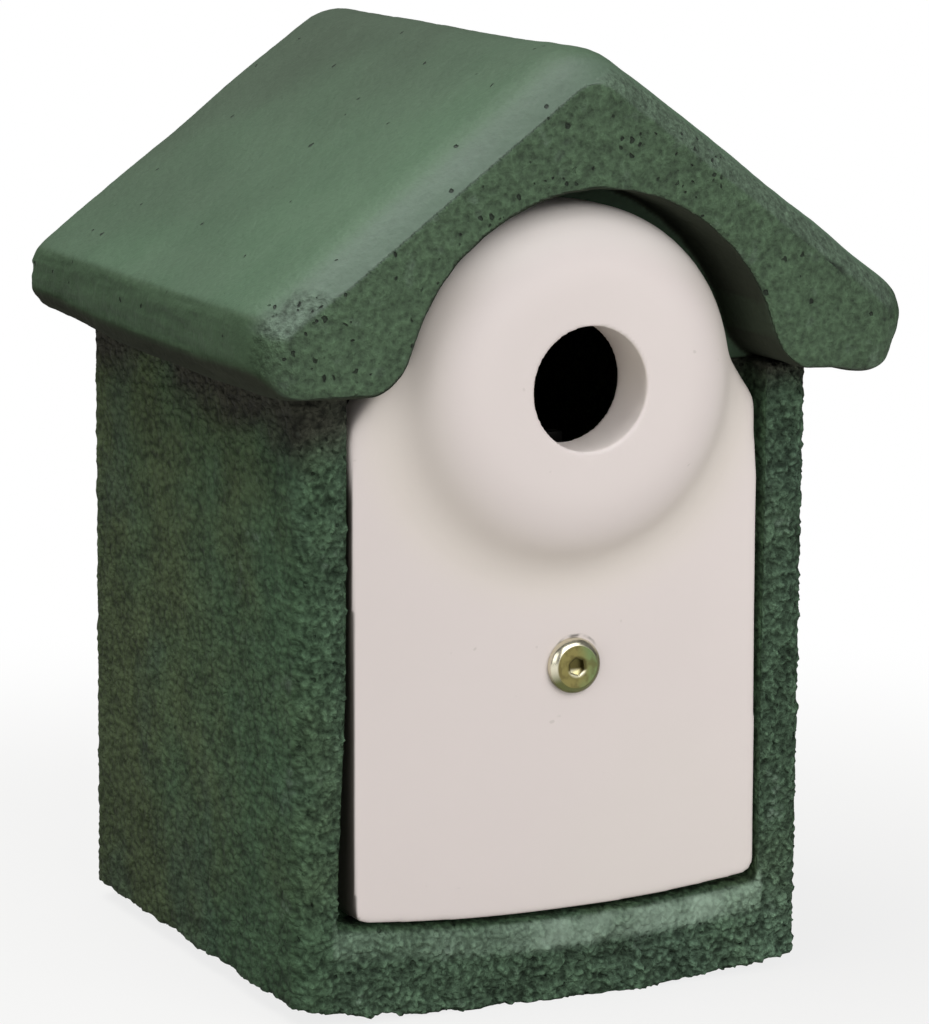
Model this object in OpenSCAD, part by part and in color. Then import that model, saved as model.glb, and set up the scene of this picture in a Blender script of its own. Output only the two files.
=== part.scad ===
/* [Body casting] */
// Width of the body across the side walls
body_w = 145.5; // [130:0.5:170]
// Depth of the body from its front frame to its back
body_d = 145; // [125:1:180]
// Height of the body, from the ground to the roof's underside
body_h = 164; // [154:1:190]
// Thickness of the side and back walls
wall_t = 15; // [12:0.5:18]
// Thickness of the floor
floor_t = 18; // [12:1:24]
// Radius of the upright edges
body_edge_r = 5; // [2:0.5:8]
// Width of the flat stretch in the middle of the crowned underside
base_flat = 24; // [16:1:60]
// How far the underside rises from there to the sides
base_rise = 5; // [1:0.5:6]
// Rounding of the sill's edge under the front panel
sill_edge_r = 5; // [2:0.5:6]
// Width of the lip that the front panel seats against
lip_w = 8; // [6:0.5:10]
// Thickness of that lip, front to back
lip_t = 10; // [6:0.5:14]
// Diameter of the hole in the back wall that hangs on a nail
hang_d = 8; // [5:0.5:10]
// Height of the hanging hole above the ground
hang_z = 130; // [110:1:140]

/* [Roof casting] */
// Width of the roof across its eaves
roof_w = 185; // [172:0.5:200]
// How far the roof stands out in front of the body
roof_front = 17; // [14:0.5:24]
// How far the roof's back stops short of the body's back
roof_back_in = 0.5; // [0:0.5:3]
// Pitch of the roof's slopes in degrees
roof_pitch = 36.4; // [33:0.2:40]
// Upright height of the eave's edge, before it is rounded
eave_h = 20; // [18:0.5:26]
// Thickness of the slopes over the loft, square to the slope
roof_t = 18; // [14:0.5:22]
// Rounding along the ridge
ridge_r = 17; // [10:0.5:20]
// Rounding of the eaves
eave_r = 10; // [8:0.5:10.5]
// Rounding of the slopes' front edges
verge_r = 20; // [8:0.5:22]
// How far, in degrees, that rounding stops short of the gable's face, which leaves a crisp edge there
verge_stop = 35; // [0:5:45]
// Rounding of the slopes' back edges
back_edge_r = 3; // [1:0.5:6]
// Radius of the arch over the front panel
arch_r = 53; // [51:0.5:56]
// Radius that flares the foot of the arch
flare_r = 16; // [10:0.5:20]

/* [Front panel] */
// Width of the panel
panel_w = 116; // [106:1:118]
// Thickness of the panel's flat
panel_t = 12; // [8:0.5:16]
// Height of the panel's lower edge above the ground
panel_z = 24; // [20:0.2:32]
// How far the panel's lower edge dips in the middle
panel_sag = 3.5; // [1:0.5:6]
// Height of the panel's straight sides above the ground
shoulder_z = 154.5; // [148:0.5:158]
// Slope of the shoulders in degrees, from the sides up to the round top
shoulder_a = 52; // [40:1:60]
// How far the panel hangs out of square, in degrees
panel_tilt = 0.7; // [0:0.1:0.8]
// Radius of the panel's round top
crown_r = 46; // [44:0.5:47]
// Gap between the panel and the frame around it
panel_gap = 1.6; // [1:0.1:2.5]
// Gap between the panel's back and the lip
seat_gap = 0.3; // [0.1:0.1:0.6]
// Radius of the lower corners
panel_corner_r = 4; // [2:0.5:8]
// Radius of the shoulders
shoulder_r = 8; // [4:0.5:12]

/* [Entrance] */
// Diameter of the entrance hole
hole_d = 32; // [26:1:34]
// How far the entrance, the arch over it and the eaves stand to the right of the middle
hole_x = 1.6; // [-2:0.1:2]
// Height of the entrance's centre above the ground
hole_z = 163; // [159:0.5:166]
// How far the moulded boss stands out of the panel
boss_h = 15; // [10:0.5:16]
// Radius of the boss's flat face
boss_face_r = 27; // [22:0.5:30]
// Radius where the boss is steepest
boss_mid_r = 44; // [40:0.5:46]
// Radius where the boss runs out into the panel
boss_foot_r = 56; // [50:0.5:58]
// Radius of the hollow behind the boss
hollow_r = 32; // [26:0.5:35]
// Thickness of the wall round the entrance
entrance_t = 17; // [14:0.5:20]

/* [Lock] */
// Height of the lock bolt above the ground
bolt_z = 89; // [84:1:100]
// How far the bolt stands to the right of the middle
bolt_x = 4; // [-6:0.5:6]
// Diameter of the bolt's shank
bolt_d = 6; // [5:0.5:8]
// Diameter of the bolt's flat head
head_d = 14.5; // [12:0.5:18]
// Height of the head
head_h = 3; // [2:0.2:4]
// Width of the hex socket across its flats
socket_af = 4; // [3:0.5:5]
// Running clearance round the shank
bolt_clear = 0.08; // [0.04:0.01:0.1]
// Length of the turn bar
bar_len = 106; // [104:0.5:110]
// Width of the turn bar
bar_w = 16; // [12:0.5:20]
// Thickness of the turn bar
bar_t = 4; // [3:0.5:5]
// Gap between the turn bar and the lip that it hooks behind
bar_gap = 0.5; // [0.3:0.1:1]
// Thickness of the washer behind the bar
washer_t = 1.5; // [1:0.1:2]
// Height of the lock nut
nut_h = 5; // [4:0.5:7]
// Width of the lock nut across its flats
nut_af = 10; // [10:0.5:13]

/* [Hidden] */
$fn = 64;
// Steps in each rounded corner of an outline
arc_n = 8;
// How far a cut runs past the face that it opens
over = 1;
// Chamfer round the bolt's head
head_bevel = 1.4;
// Length of thread that shows behind the nut
bolt_tail = 2.5;
// Depth of the hex socket
socket_depth = 2;
// How far the arch's centre lies under the entrance's
arch_drop = 2.5;
// Share of the verge's rounding that its lower edge gets
soffit_share = 0.12;
// How far the flare's circle dips under the roof's underside, so that they meet at an angle
flare_dip = 0.3;
// How far in front of the body the rounding of the sill's edge begins
edge_lead = 0.3;
// Smallest radius left where two roundings meet
least_r = 1.5;
// How far the slanted shoulders run in under the round top
shoulder_in = 3;

front_y = -body_d / 2;
back_y = body_d / 2;
cavity_w = body_w - 2 * wall_t;
cavity_back = back_y - wall_t;
recess_w = panel_w + 2 * panel_gap;
panel_back = front_y + panel_t;
lip_front = panel_back + seat_gap;
lip_back = lip_front + lip_t;
lip_open_w = panel_w - 2 * lip_w;
lip_open_z = panel_z + panel_sag + lip_w;
panel_half = panel_w / 2;
panel_dip_r = (panel_half ^ 2 + panel_sag ^ 2) / (2 * panel_sag);
panel_dip_z = panel_z + panel_dip_r;
roof_front_y = front_y - roof_front;
roof_back_y = back_y - roof_back_in;
eave_top = body_h + eave_h;
ridge_z = eave_top + tan(roof_pitch) * roof_w / 2;
arch_z = hole_z - arch_drop;
flare_z = body_h + flare_r - flare_dip;
flare_x = sqrt((arch_r + flare_r) ^ 2 - (flare_z - arch_z) ^ 2);
flare_a = atan2(flare_z - arch_z, flare_x);
bar_front = lip_back + bar_gap;
washer_front = bar_front + bar_t;
nut_front = washer_front + washer_t;
bolt_end = nut_front + nut_h + bolt_tail;
washer_r = bolt_d;

// Points along a round stretch of an outline, from angle a0 to a1
function arc(centre, r, a0, a1) =
    [for (i = [0 : arc_n]) let (a = a0 + (a1 - a0) * i / arc_n) centre + r * [cos(a), sin(a)]];

function unit(v) = v / norm(v);

// The arc that rounds the corner p between its neighbours a and b
function corner(a, p, b, r) =
    let (u = unit(a - p), v = unit(b - p), half = acos(u * v) / 2,
         centre = p + unit(u + v) * r / sin(half),
         from = p + u * r / tan(half) - centre, to = p + v * r / tan(half) - centre,
         a0 = atan2(from.y, from.x), turn = (atan2(to.y, to.x) - a0 + 540) % 360 - 180)
    r > 0 ? arc(centre, r, a0, a0 + turn) : [p];

// An outline with each corner rounded by its own radius
function rounded(pts, radii) =
    [for (i = [0 : len(pts) - 1])
        each corner(pts[(i + len(pts) - 1) % len(pts)], pts[i], pts[(i + 1) % len(pts)], radii[i])];

// The corner p of an outline, moved in by da from the edge to a and by db from the edge to b
function inset_corner(a, p, b, da, db) =
    let (u = unit(a - p), v = unit(b - p)) p + (db * u + da * v) / abs(cross(u, v));

// An outline with each edge moved in by its own distance; edge i runs on from point i
function inset(pts, by) =
    let (n = len(pts))
    [for (i = [0 : n - 1])
        inset_corner(pts[(i + n - 1) % n], pts[i], pts[(i + 1) % n], by[(i + n - 1) % n], by[i])];

// A shallow arc that dips to its lowest point in the middle, round a centre at height z
function dip(half, z, r) =
    [for (i = [-arc_n : arc_n]) let (x = half * i / arc_n) [x, z - sqrt(r ^ 2 - x ^ 2)]];

// Steps of a rounded edge, as [how far in, how far back], from the angle a0 of the arc to its end
function edge_steps(r, a0) =
    [for (i = [0 : arc_n]) let (a = a0 + (90 - a0) * i / arc_n) r * [1 - sin(a), cos(a0) - cos(a)]];

// Skins a row of upright outlines that all have as many points, each at its own y
module loft(outlines, ys) {
    n = len(outlines[0]);
    last = len(outlines) - 1;
    polyhedron(
        [for (k = [0 : last]) for (p = outlines[k]) [p.x, ys[k], p.y]],
        concat([[for (i = [n - 1 : -1 : 0]) i]],
               [for (k = [0 : last - 1]) for (i = [0 : n - 1])
                   [k * n + i, k * n + (i + 1) % n, (k + 1) * n + (i + 1) % n, (k + 1) * n + i]],
               [[for (i = [0 : n - 1]) last * n + i]]));
}

// Stands an outline drawn in X and Z up, and gives it depth from y0 to y1
module upright(y0, y1) {
    translate([0, y1, 0]) rotate([90, 0, 0]) linear_extrude(y1 - y0) children();
}

// Turns a shape made along Z so that it runs back from the front, at the given place
module facing_back(x, y, z) {
    translate([x, y, z]) rotate([-90, 0, 0]) children();
}

module body_plan() {
    half = [body_w, body_d] / 2;
    polygon(rounded([-half, [half.x, -half.y], half, [-half.x, half.y]], body_edge_r * [1, 1, 1, 1]));
}

// Front view of the body, with an underside that is flat in the middle and rises to the sides
module body_front() {
    half = body_w / 2;
    reach = half - base_flat / 2;
    crown_of_base_r = (reach ^ 2 + base_rise ^ 2) / (2 * base_rise);
    rise = [for (i = [0 : arc_n]) let (x = reach * i / arc_n)
        [base_flat / 2 + x, crown_of_base_r - sqrt(crown_of_base_r ^ 2 - x ^ 2)]];
    polygon(concat(rise, [[half, body_h], [-half, body_h]],
                   [for (i = [arc_n : -1 : 0]) [-rise[i].x, rise[i].y]]));
}

module tall_opening(w, z) {
    translate([-w / 2, z]) square([w, body_h + over - z]);
}

// Outline of the rebate that the panel sits in, whose lower edge follows the panel's, a little lowered
function rebate_outline(drop) =
    let (half = recess_w / 2)
    concat([for (p = dip(half, panel_dip_z, panel_dip_r + panel_gap)) p - [0, drop]],
           [[half, body_h + over], [-half, body_h + over]]);

// The rebate, with a rounded edge where it meets the sill's face
module rebate() {
    edge = edge_steps(sill_edge_r, 0);
    loft(concat([for (s = edge) rebate_outline(s.x)], [rebate_outline(0)]),
         concat([for (s = edge) front_y - edge_lead + s.y], [lip_front]));
}

// One moulding: floor, back, sides, and a front frame with a rebate for the panel
module body_shell() {
    color("#3f5945") difference() {
        intersection() {
            linear_extrude(body_h) body_plan();
            upright(front_y - over, back_y + over) body_front();
        }
        upright(lip_back, cavity_back) tall_opening(cavity_w, floor_t);
        upright(lip_front - over, lip_back + over) tall_opening(lip_open_w, lip_open_z);
        rebate();
        facing_back(0, cavity_back - over, hang_z) cylinder(d = hang_d, h = wall_t + 2 * over);
    }
}

// Outline of the roof, moved in by d where the verge is rounded
function roof_outline(d) =
    let (left = hole_x - roof_w / 2, right = hole_x + roof_w / 2,
         sharp = [[left, body_h], [right, body_h], [right, eave_top], [0, ridge_z], [left, eave_top]],
         radii = [eave_r, eave_r, eave_r, ridge_r, eave_r])
    rounded(inset(sharp, d * [soffit_share, 1, 1, 1, 1]), [for (r = radii) max(r - d, least_r)]);

module roof_mass() {
    verge = edge_steps(verge_r, verge_stop);
    edge = edge_steps(back_edge_r, 0);
    loft(concat([for (s = verge) roof_outline(s.x)], [for (i = [arc_n : -1 : 0]) roof_outline(edge[i].x)]),
         concat([for (s = verge) roof_front_y + s.y],
                [for (i = [arc_n : -1 : 0]) roof_back_y - edge[i].y]));
}

// The arch over the panel, with a flared foot on each side
module arch_outline() {
    foot = arc([flare_x, flare_z], flare_r, 270, 180 + flare_a);
    head = arc([0, arch_z], arch_r, flare_a, 90);
    right = concat([[flare_x, body_h - over]], foot, [for (i = [1 : arc_n]) head[i]]);
    polygon(concat(right, [for (i = [len(right) - 2 : -1 : 0]) [-right[i].x, right[i].y]]));
}

// The lip behind the panel's round top, which carries on the lip of the body
module crown_opening() {
    r = crown_r - lip_w;
    polygon(concat([[-r, body_h - over], [r, body_h - over]], arc([0, hole_z], r, 0, 180)));
}

// The loft under the slopes, open to the nest below
module loft_outline() {
    half = cavity_w / 2;
    drop = roof_t / cos(roof_pitch);
    side_z = ridge_z - tan(roof_pitch) * half - drop;
    polygon([[-half, body_h - over], [half, body_h - over], [half, side_z],
             [0, ridge_z - drop], [-half, side_z]]);
}

// One moulding: two slopes, a back gable and a deep front lip with an arch
module roof() {
    color("#5c785f") difference() {
        roof_mass();
        translate([hole_x, 0, 0]) {
            upright(roof_front_y - over, lip_front) arch_outline();
            upright(lip_front - over, lip_back + over) crown_opening();
        }
        upright(lip_back, cavity_back) loft_outline();
    }
}

// Front view of the panel: dipped lower edge, slanted shoulders and a round top
module panel_outline() {
    inner = crown_r - shoulder_in;
    top_z = shoulder_z + tan(shoulder_a) * (panel_half - inner);
    edge = dip(panel_half, panel_dip_z, panel_dip_r);
    corner_radii = concat([panel_corner_r], [for (i = [2 : len(edge) - 1]) 0], [panel_corner_r]);
    sides = [[panel_half, shoulder_z], [inner, top_z], [-inner, top_z], [-panel_half, shoulder_z]];
    polygon(rounded(concat(edge, sides), concat(corner_radii, [shoulder_r, 0, 0, shoulder_r])));
    translate([hole_x, hole_z]) circle(crown_r);
}

// Turns the panel about its bolt, as far as it hangs out of square
module as_hung() {
    translate([bolt_x, 0, bolt_z]) rotate([0, -panel_tilt, 0]) translate([-bolt_x, 0, -bolt_z]) children();
}

// Half section of the boss: flat face, round shoulder and a hollow flare out to the panel
module boss_section() {
    steep_a = 2 * atan(boss_h / (boss_foot_r - boss_face_r));
    shoulder_bend = (boss_mid_r - boss_face_r) / sin(steep_a);
    flare_bend = (boss_foot_r - boss_mid_r) / sin(steep_a);
    polygon(concat([[0, -panel_t / 2], [0, boss_h]],
                   arc([boss_face_r, boss_h - shoulder_bend], shoulder_bend, 90, 90 - steep_a),
                   arc([boss_foot_r, flare_bend], flare_bend, 270 - steep_a, 270 - steep_a / arc_n),
                   [[boss_foot_r, -panel_t / 2]]));
}

// The smooth front: a plate with a round top and a boss round the entrance, hollow behind
module front_panel() {
    hollow_depth = panel_t + boss_h - entrance_t;
    color("#d9d1cc") as_hung() difference() {
        intersection() {
            upright(front_y - boss_h - over, panel_back) panel_outline();
            union() {
                upright(front_y, panel_back) panel_outline();
                translate([hole_x, front_y, hole_z]) rotate([90, 0, 0]) rotate_extrude() boss_section();
            }
        }
        facing_back(hole_x, front_y - boss_h - over, hole_z)
            cylinder(d = hole_d, h = boss_h + panel_t + 2 * over);
        facing_back(hole_x, panel_back - hollow_depth, hole_z)
            cylinder(r = hollow_r, h = hollow_depth + over);
        facing_back(bolt_x, front_y - over, bolt_z)
            cylinder(d = bolt_d + 2 * bolt_clear, h = panel_t + 2 * over);
    }
}

// Flat bolt with a bevelled head and a hex socket
module lock_bolt() {
    head_y = front_y - head_h;
    color("#b3a24a") difference() {
        union() {
            facing_back(bolt_x, head_y, bolt_z)
                cylinder(d1 = head_d - 2 * head_bevel, d2 = head_d, h = head_bevel);
            facing_back(bolt_x, head_y + head_bevel, bolt_z) cylinder(d = head_d, h = head_h - head_bevel);
            facing_back(bolt_x, front_y - over / 2, bolt_z)
                cylinder(d = bolt_d, h = bolt_end - front_y + over / 2);
        }
        facing_back(bolt_x, head_y - over, bolt_z)
            cylinder(d = socket_af / cos(30), h = socket_depth + over, $fn = 6);
    }
}

// Steel bar on the bolt, which turns to hook behind the lip on both sides. Its hole stands as far
// off its middle as the bolt does, so that it reaches equally far behind both sides when it is turned
module turn_bar() {
    color("#9a9a94") difference() {
        translate([bolt_x, bar_front, bolt_z + bolt_x])
            upright(0, bar_t) square([bar_w, bar_len], center = true);
        facing_back(bolt_x, bar_front - over, bolt_z) cylinder(d = bolt_d, h = bar_t + 2 * over);
    }
}

module bar_washer() {
    color("#a8a8a2") difference() {
        facing_back(bolt_x, washer_front, bolt_z) cylinder(r = washer_r, h = washer_t);
        facing_back(bolt_x, washer_front - over, bolt_z) cylinder(d = bolt_d, h = washer_t + 2 * over);
    }
}

module lock_nut() {
    color("#a09a80") difference() {
        facing_back(bolt_x, nut_front, bolt_z) cylinder(d = nut_af / cos(30), h = nut_h, $fn = 6);
        facing_back(bolt_x, nut_front - over, bolt_z) cylinder(d = bolt_d, h = nut_h + 2 * over);
    }
}

body_shell();
roof();
front_panel();
lock_bolt();
turn_bar();
bar_washer();
lock_nut();
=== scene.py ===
# %% [markdown]
# # A moulded nest box
# The real box is two castings of green wood-concrete, a smooth pale front panel and one bolt that locks
# it. The solids arrive as a fixed frame: they give every size and place, and they are never moved.
# Each cell below dresses one of them as the real one looks, in metres and in the same frame.

# %% Load the frame
import itertools
import math

import bpy
import numpy as np
from mathutils import Matrix, Vector
from mathutils.kdtree import KDTree


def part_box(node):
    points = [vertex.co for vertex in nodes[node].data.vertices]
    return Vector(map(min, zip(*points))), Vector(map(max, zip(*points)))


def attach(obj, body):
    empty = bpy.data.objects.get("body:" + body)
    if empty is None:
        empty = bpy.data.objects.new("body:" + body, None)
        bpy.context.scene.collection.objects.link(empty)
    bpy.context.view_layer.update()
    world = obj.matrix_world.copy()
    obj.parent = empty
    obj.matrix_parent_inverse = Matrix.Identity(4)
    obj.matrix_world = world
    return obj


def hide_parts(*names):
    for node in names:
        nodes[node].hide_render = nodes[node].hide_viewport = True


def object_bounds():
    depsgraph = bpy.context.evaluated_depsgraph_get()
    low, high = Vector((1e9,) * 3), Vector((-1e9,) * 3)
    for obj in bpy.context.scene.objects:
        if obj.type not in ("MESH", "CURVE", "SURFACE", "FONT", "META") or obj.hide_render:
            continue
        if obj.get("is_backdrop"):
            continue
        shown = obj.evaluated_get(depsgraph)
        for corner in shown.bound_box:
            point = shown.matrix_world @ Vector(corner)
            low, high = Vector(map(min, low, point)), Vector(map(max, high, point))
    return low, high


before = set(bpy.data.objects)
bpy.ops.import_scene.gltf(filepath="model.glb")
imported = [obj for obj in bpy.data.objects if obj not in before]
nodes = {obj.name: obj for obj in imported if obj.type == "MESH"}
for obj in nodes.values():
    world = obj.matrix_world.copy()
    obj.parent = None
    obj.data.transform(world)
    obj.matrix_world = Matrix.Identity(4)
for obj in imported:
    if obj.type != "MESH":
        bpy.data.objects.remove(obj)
cad_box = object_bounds()
scene = bpy.context.scene
MM = 0.001


def placed(name, data):
    """A new object with that data, linked into the scene."""
    made = bpy.data.objects.new(name, data)
    scene.collection.objects.link(made)
    return made


print("solids:", sorted(nodes), "box", [round(v, 4) for v in cad_box[1] - cad_box[0]])

# %% [markdown]
# The camera comes first, because every later choice is judged through it. Its place could be found by
# moving it about by eye. Here it was worked out from the box's own straight edges: how far to the side
# it stands, how high, and how long its lens is, in pixels of a picture 1024 pixels high.

# %% Camera
IMAGE_H = 1024
FOCAL_PX = 4500
SENSOR_MM = 36
PICTURE_SHIFT_PX = (25, -4)
YAW, PITCH, ROLL = (math.radians(a) for a in (25.2, 10.4, 0.41))
AIM = Vector((0, 0, 0.118))
DISTANCE = 1.216

forward = Vector((math.sin(YAW) * math.cos(PITCH), math.cos(YAW) * math.cos(PITCH), -math.sin(PITCH)))
level = Vector((math.cos(YAW), -math.sin(YAW), 0))
upward = level.cross(forward)
right = level * math.cos(ROLL) + upward * math.sin(ROLL)
up = upward * math.cos(ROLL) - level * math.sin(ROLL)

lens = bpy.data.cameras.new("photo_camera")
lens.sensor_width = SENSOR_MM
lens.lens = FOCAL_PX / IMAGE_H * lens.sensor_width
lens.shift_x, lens.shift_y = (p / IMAGE_H for p in PICTURE_SHIFT_PX)
camera = placed("photo_camera", lens)
turned = Matrix((right, up, -forward)).transposed().to_4x4()
camera.matrix_world = Matrix.Translation(AIM - forward * DISTANCE) @ turned
scene.camera = camera
scene.view_settings.view_transform = "Standard"
print("camera at", [round(v, 3) for v in camera.matrix_world.translation], "lens", round(lens.lens, 1))

# %% [markdown]
# Shader maths is easier to read as Python than as a web of nodes. A Wire is one socket, and an operator
# on it adds the Math node that does the sum. A Shader is one material, or the sky, and its method node()
# makes every other kind of node: its type, then its settings, then what goes into its sockets.

# %% Wires and shaders
class Wire:
    """One output socket of a shader that Python's operators work on."""

    def __init__(self, paint, socket):
        self.paint, self.socket = paint, socket

    def __add__(self, other):
        return self.paint.math("ADD", self, other)

    def __radd__(self, other):
        return self.paint.math("ADD", other, self)

    def __sub__(self, other):
        return self.paint.math("SUBTRACT", self, other)

    def __rsub__(self, other):
        return self.paint.math("SUBTRACT", other, self)

    def __mul__(self, other):
        return self.paint.math("MULTIPLY", self, other)

    def __rmul__(self, other):
        return self.paint.math("MULTIPLY", other, self)

    def between(self, low, high):
        """0 below low, 1 above high and a smooth step from one to the other."""
        return self.paint.node("ShaderNodeMapRange", {"interpolation_type": "SMOOTHSTEP"},
                               {"Value": self, "From Min": low, "From Max": high})


class Shader:
    """The nodes of a material, or of the sky, in the making."""

    def __init__(self, owner):
        self.owner = owner
        owner.use_nodes = True
        self.tree = owner.node_tree
        self.tree.nodes.clear()
        self.place = self.node("ShaderNodeTexCoord", out="Object")

    def node(self, kind, settings=None, inputs=None, out=0):
        made = self.tree.nodes.new(kind)
        for key, value in (settings or {}).items():
            setattr(made, key, value)
        for key, value in (inputs or {}).items():
            socket = self.find(made.inputs, key)
            if isinstance(value, Wire):
                self.tree.links.new(value.socket, socket)
            else:
                socket.default_value = (*value, 1) if socket.type == "RGBA" else value
        return Wire(self, self.find(made.outputs, out)) if made.outputs else None

    @staticmethod
    def find(sockets, key):
        """A socket by its number, its identifier or its name."""
        if isinstance(key, int):
            return sockets[key]
        exact = [s for s in sockets if s.identifier == key]
        return exact[0] if exact else sockets[key]

    def math(self, operation, a, b):
        return self.node("ShaderNodeMath", {"operation": operation}, {0: a, 1: b})

    def vector(self, operation, *inputs, out="Vector"):
        return self.node("ShaderNodeVectorMath", {"operation": operation}, dict(enumerate(inputs)), out)

    def surface(self, shader):
        """Joins a finished shader to the output, and gives back what it belongs to."""
        kind = "World" if isinstance(self.owner, bpy.types.World) else "Material"
        self.node("ShaderNodeOutput" + kind, inputs={"Surface": shader})
        return self.owner


# %% [markdown]
# A Paint is a Shader that knows patterns. Real finishes are clouds, spots and grains laid over each
# other, so each pattern is one method that takes a size in metres, and coats() lays colours over one
# another as a painter does, each with the share of it that shows.

# %% Patterns and coats
class Paint(Shader):
    """A material with the patterns that the finishes below are made of."""

    def mix(self, share, a, b):
        return self.node("ShaderNodeMix", {"data_type": "RGBA"},
                         {"Factor_Float": share, "A_Color": a, "B_Color": b}, "Result_Color")

    def coats(self, colour, *over):
        """A colour with coats over it, each given as its share and its own colour."""
        for share, coat in over:
            colour = self.mix(share, colour, coat)
        return colour

    def shade(self, colour, brightness):
        """A colour made lighter or darker by a value that varies over the surface."""
        return self.node("ShaderNodeVectorMath", {"operation": "SCALE"},
                         {"Vector": colour, "Scale": brightness}, "Vector")

    def noise(self, size, detail=3, place=None, roughness=0.5):
        """Soft noise from 0 to 1 with blots about as large as size, in metres."""
        return self.node("ShaderNodeTexNoise", {"noise_dimensions": "3D"},
                         {"Vector": place or self.place, "Scale": 0.5 / size, "Detail": detail,
                          "Roughness": roughness})

    def stretched(self, x, y, z):
        """The place on the surface with each axis scaled, for noise drawn out into streaks."""
        return self.vector("MULTIPLY", self.place, (x, y, z))

    def wobbled(self, size, push):
        """The place on the surface, pushed about by up to that much, so that spots lose their roundness."""
        source = {"Vector": self.place, "Scale": 0.5 / size, "Detail": 0}
        stir = self.node("ShaderNodeTexNoise", inputs=source, out="Color")
        stir = self.vector("SUBTRACT", stir, (0.5, 0.5, 0.5))
        return self.vector("MULTIPLY_ADD", stir, (2 * push, 2 * push, 2 * push), self.place)

    def nearest(self, spacing, place):
        """Distance to the nearest of many scattered places, as a share of their spacing."""
        return self.node("ShaderNodeTexVoronoi", {"feature": "F1"},
                         {"Vector": place, "Scale": 1 / spacing}, "Distance")

    def dots(self, spacing, radius, share):
        """Scattered spots of up to that radius, 1 inside and 0 outside, in that share of all places."""
        away = self.nearest(spacing, self.wobbled(0.9 * radius, 0.9 * radius))
        colour = Wire(self, away.socket.node.outputs["Color"])
        chance = self.node("ShaderNodeSeparateColor", inputs={"Color": colour}, out="Red")
        reach = radius / spacing
        return (chance.between(1 - share, 1) * reach - away).between(0, 0.45 * reach)

    def grains(self, spacing):
        """Packed grains: near 1 on top of a grain and 0 in the gaps."""
        return (1 - self.nearest(spacing, self.wobbled(spacing, 0.35 * spacing))).between(0.2, 0.8)

    def from_axis(self, x, z):
        """Distance from a line that runs straight back at that place."""
        offset = self.vector("MULTIPLY_ADD", self.place, (1, 0, 1), (-x, 0, -z))
        return self.vector("LENGTH", offset, out="Value")

    def stored(self, name):
        """A value that was kept on each point of the mesh."""
        return self.node("ShaderNodeAttribute", {"attribute_name": name}, out="Fac")

    def along(self, axis):
        return self.node("ShaderNodeSeparateXYZ", inputs={"Vector": self.place}, out=axis)

    def bump(self, height, depth, strength=1.0):
        return self.node("ShaderNodeBump",
                         inputs={"Height": height, "Distance": depth, "Strength": strength})

    def skin(self, **inputs):
        """A Principled shader with those inputs."""
        named = {key.replace("_", " ").title().replace("Ior", "IOR"): value
                 for key, value in inputs.items()}
        return self.node("ShaderNodeBsdfPrincipled", inputs=named, out="BSDF")

    def finished(self, piece, shader):
        """Gives the piece this paint."""
        piece.data.materials.append(self.surface(shader))
        print(self.owner.name, "on", piece.name, len(self.tree.nodes), "nodes")


# %% [markdown]
# The stage is a plain pale floor that runs out to white, and it could be one bright sheet of paper. Only
# near the box does it keep some real shading, so that the box's shadow shows there. Light that leaves the
# floor for the box is always that of a plain pale floor.

# %% Floor
FLOOR_HALF = 15.0
FLOOR_GREY = (0.5, 0.49, 0.46)
SHADOW_REACH = (0.16, 0.42)
SHADOW_SHARE = 0.19

corners = [(x * FLOOR_HALF, y * FLOOR_HALF, 0) for x, y in ((-1, -1), (1, -1), (1, 1), (-1, 1))]
sheet = bpy.data.meshes.new("floor")
sheet.from_pydata(corners, [], [(0, 1, 2, 3)])
floor = placed("floor", sheet)
floor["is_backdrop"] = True

paper = Paint(bpy.data.materials.new("pale_floor"))
away = paper.vector("LENGTH", paper.place, out="Value")
by_camera, by_gloss, by_glass = (paper.node("ShaderNodeLightPath", out=kind)
                                 for kind in ("Is Camera Ray", "Is Glossy Ray", "Is Transmission Ray"))
seen = by_camera + by_gloss + by_glass
lit = paper.node("ShaderNodeBsdfDiffuse", inputs={"Color": FLOOR_GREY})
white = paper.node("ShaderNodeEmission", inputs={"Color": (1, 1, 1), "Strength": 1.0})
plain = seen.between(0, 1) * (1 - SHADOW_SHARE * (1 - away.between(*SHADOW_REACH)))
paper.finished(floor, paper.node("ShaderNodeMixShader", inputs={0: plain, 1: lit, 2: white}))

# %% [markdown]
# The light is soft: the slopes are the brightest, and the left side is nearly as bright as the front. A
# large lamp overhead and to the left, another in front, a weak one that fills the left side and a dim,
# even sky give that, at a level where a colour renders about as it is written.

# %% Lamps and sky
SKY = 0.2
LAMPS = {
    "overhead_softbox": {"at": (-0.42, 0.15, 1.45), "aim": (0, 0, 0.15), "size": (1.2, 1.1), "power": 20.0},
    "front_softbox": {"at": (0.2, -1.4, 0.85), "aim": (0, 0, 0.12), "size": (1.4, 1.2), "power": 15.5},
    "left_fill": {"at": (-1.2, -0.95, 0.6), "aim": (0, 0, 0.12), "size": (0.8, 0.8), "power": 3.6},
}

for name, lamp in LAMPS.items():
    light = bpy.data.lights.new(name, "AREA")
    light.shape = "RECTANGLE"
    light.size, light.size_y = lamp["size"]
    light.energy = lamp["power"]
    holder = placed(name, light)
    holder.location = lamp["at"]
    sight = Vector(lamp["aim"]) - Vector(lamp["at"])
    holder.rotation_euler = sight.to_track_quat("-Z", "Y").to_euler()

air = Shader(bpy.data.worlds.new("soft_sky"))
seen = air.node("ShaderNodeLightPath", out="Is Camera Ray")
scene.world = air.surface(air.node("ShaderNodeBackground", inputs={"Strength": SKY + (1 - SKY) * seen}))
print("lamps:", {name: lamp["power"] for name, lamp in LAMPS.items()}, "sky", SKY)

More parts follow.
